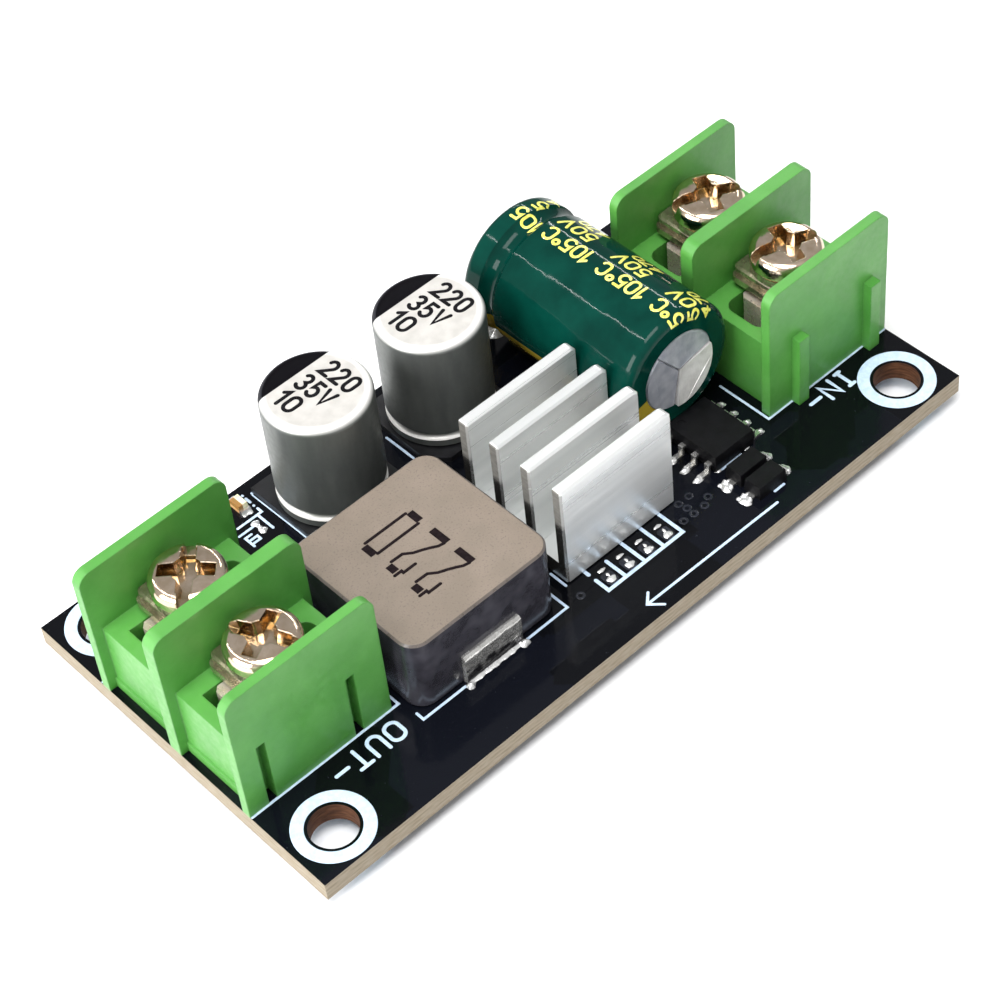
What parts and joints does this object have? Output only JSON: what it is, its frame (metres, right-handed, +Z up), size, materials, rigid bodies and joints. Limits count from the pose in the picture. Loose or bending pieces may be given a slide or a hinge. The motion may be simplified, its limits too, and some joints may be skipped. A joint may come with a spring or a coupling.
{
  "type": "buck converter module",
  "caption": "Small power supply board with a screw terminal block at each end, a moulded inductor, a finned heatsink and upright and lying electrolytic capacitors.",
  "frame": {"origin": "middle of the pattern of the board's mounting holes, on the board's underside", "axes": "+X along the board from the output end to the input end, +Z up out of the board's component side"},
  "size_m": [0.06, 0.03, 0.0143],
  "materials": {
    "board": "glossy black solder mask",
    "housing": "satin green moulded plastic",
    "contact": "bright tin plate",
    "clamp": "nickel plate",
    "screw": "champagne zinc plate",
    "core": "pressed iron powder, taupe top",
    "tin": "tin plate",
    "can": "coated aluminium",
    "bare_can": "bare aluminium",
    "black_plastic": "black moulded plastic",
    "sleeve": "glossy green shrink sleeve",
    "bung": "black rubber",
    "glue": "olive yellow adhesive",
    "heatsink": "bright extruded aluminium",
    "pad": "grey thermal adhesive",
    "chip": "black moulded epoxy",
    "solder": "bright solder",
    "led_base": "tan laminate",
    "led_lens": "clear cream resin"
  },
  "bodies": {
    "module": {"circuit_board": "board", "output_terminal_housing": "housing", "input_terminal_housing": "housing", "inductor_body": "core", "inductor_near_clip": "tin", "inductor_far_clip": "tin", "thermal_pad": "pad", "heatsink": "heatsink", "input_capacitor_can": "bare_can", "input_capacitor_bung": "bung", "input_capacitor_sleeve": "sleeve", "input_capacitor_leads": "tin", "capacitor_glue": "glue", "controller_body": "chip", "controller_leads": "tin", "indicator_base": "led_base", "indicator_pads": "tin", "indicator_lens": "led_lens", "terminal_solder_joints": "solder", "lead_solder_joints": "solder", "foot_solder_joints": "solder", "jumper_solder_pads": "solder", "front_capacitor_base": "black_plastic", "front_capacitor_leads": "tin", "front_capacitor_can": "can", "rear_capacitor_base": "black_plastic", "rear_capacitor_leads": "tin", "rear_capacitor_can": "can", "upper_diode_body": "chip", "upper_diode_tabs": "tin", "lower_diode_body": "chip", "lower_diode_tabs": "tin", "output_negative_contact": "contact", "output_positive_contact": "contact", "input_negative_contact": "contact", "input_positive_contact": "contact"},
    "output_negative_clamp": {"output_negative_clamp_washer": "clamp"},
    "output_negative_screw_and_washer": {"output_negative_screw": "screw", "output_negative_spring_washer": "clamp"},
    "output_positive_clamp": {"output_positive_clamp_washer": "clamp"},
    "output_positive_screw_and_washer": {"output_positive_screw": "screw", "output_positive_spring_washer": "clamp"},
    "input_negative_clamp": {"input_negative_clamp_washer": "clamp"},
    "input_negative_screw_and_washer": {"input_negative_screw": "screw", "input_negative_spring_washer": "clamp"},
    "input_positive_clamp": {"input_positive_clamp_washer": "clamp"},
    "input_positive_screw_and_washer": {"input_positive_screw": "screw", "input_positive_spring_washer": "clamp"}
  },
  "joints": [
    {"name": "output_negative_clamp_rise", "type": "slide", "parent": "module", "child": "output_negative_clamp", "axis": [0, 0, 1], "range_m": [-0.0004, 0.002]},
    {"name": "output_negative_screw_turn", "type": "hinge", "parent": "output_negative_clamp", "child": "output_negative_screw_and_washer", "pos_m": [-0.024, -0.00381, 0.0112], "axis": [0, 0, 1], "range_deg": [-290, 1445]},
    {"name": "output_positive_clamp_rise", "type": "slide", "parent": "module", "child": "output_positive_clamp", "axis": [0, 0, 1], "range_m": [-0.0004, 0.002]},
    {"name": "output_positive_screw_turn", "type": "hinge", "parent": "output_positive_clamp", "child": "output_positive_screw_and_washer", "pos_m": [-0.024, 0.00381, 0.0112], "axis": [0, 0, 1], "range_deg": [-290, 1445]},
    {"name": "input_negative_clamp_rise", "type": "slide", "parent": "module", "child": "input_negative_clamp", "axis": [0, 0, 1], "range_m": [-0.0004, 0.002]},
    {"name": "input_negative_screw_turn", "type": "hinge", "parent": "input_negative_clamp", "child": "input_negative_screw_and_washer", "pos_m": [0.024, -0.00381, 0.0112], "axis": [0, 0, 1], "range_deg": [-290, 1445]},
    {"name": "input_positive_clamp_rise", "type": "slide", "parent": "module", "child": "input_positive_clamp", "axis": [0, 0, 1], "range_m": [-0.0004, 0.002]},
    {"name": "input_positive_screw_turn", "type": "hinge", "parent": "input_positive_clamp", "child": "input_positive_screw_and_washer", "pos_m": [0.024, 0.00381, 0.0112], "axis": [0, 0, 1], "range_deg": [-290, 1445]}
  ],
  "couplings": [
    {"joint": "output_negative_screw_turn", "follows": "output_negative_clamp_rise", "rad_per_m": 12566},
    {"joint": "output_positive_screw_turn", "follows": "output_positive_clamp_rise", "rad_per_m": 12566},
    {"joint": "input_negative_screw_turn", "follows": "input_negative_clamp_rise", "rad_per_m": 12566},
    {"joint": "input_positive_screw_turn", "follows": "input_positive_clamp_rise", "rad_per_m": 12566}
  ]
}
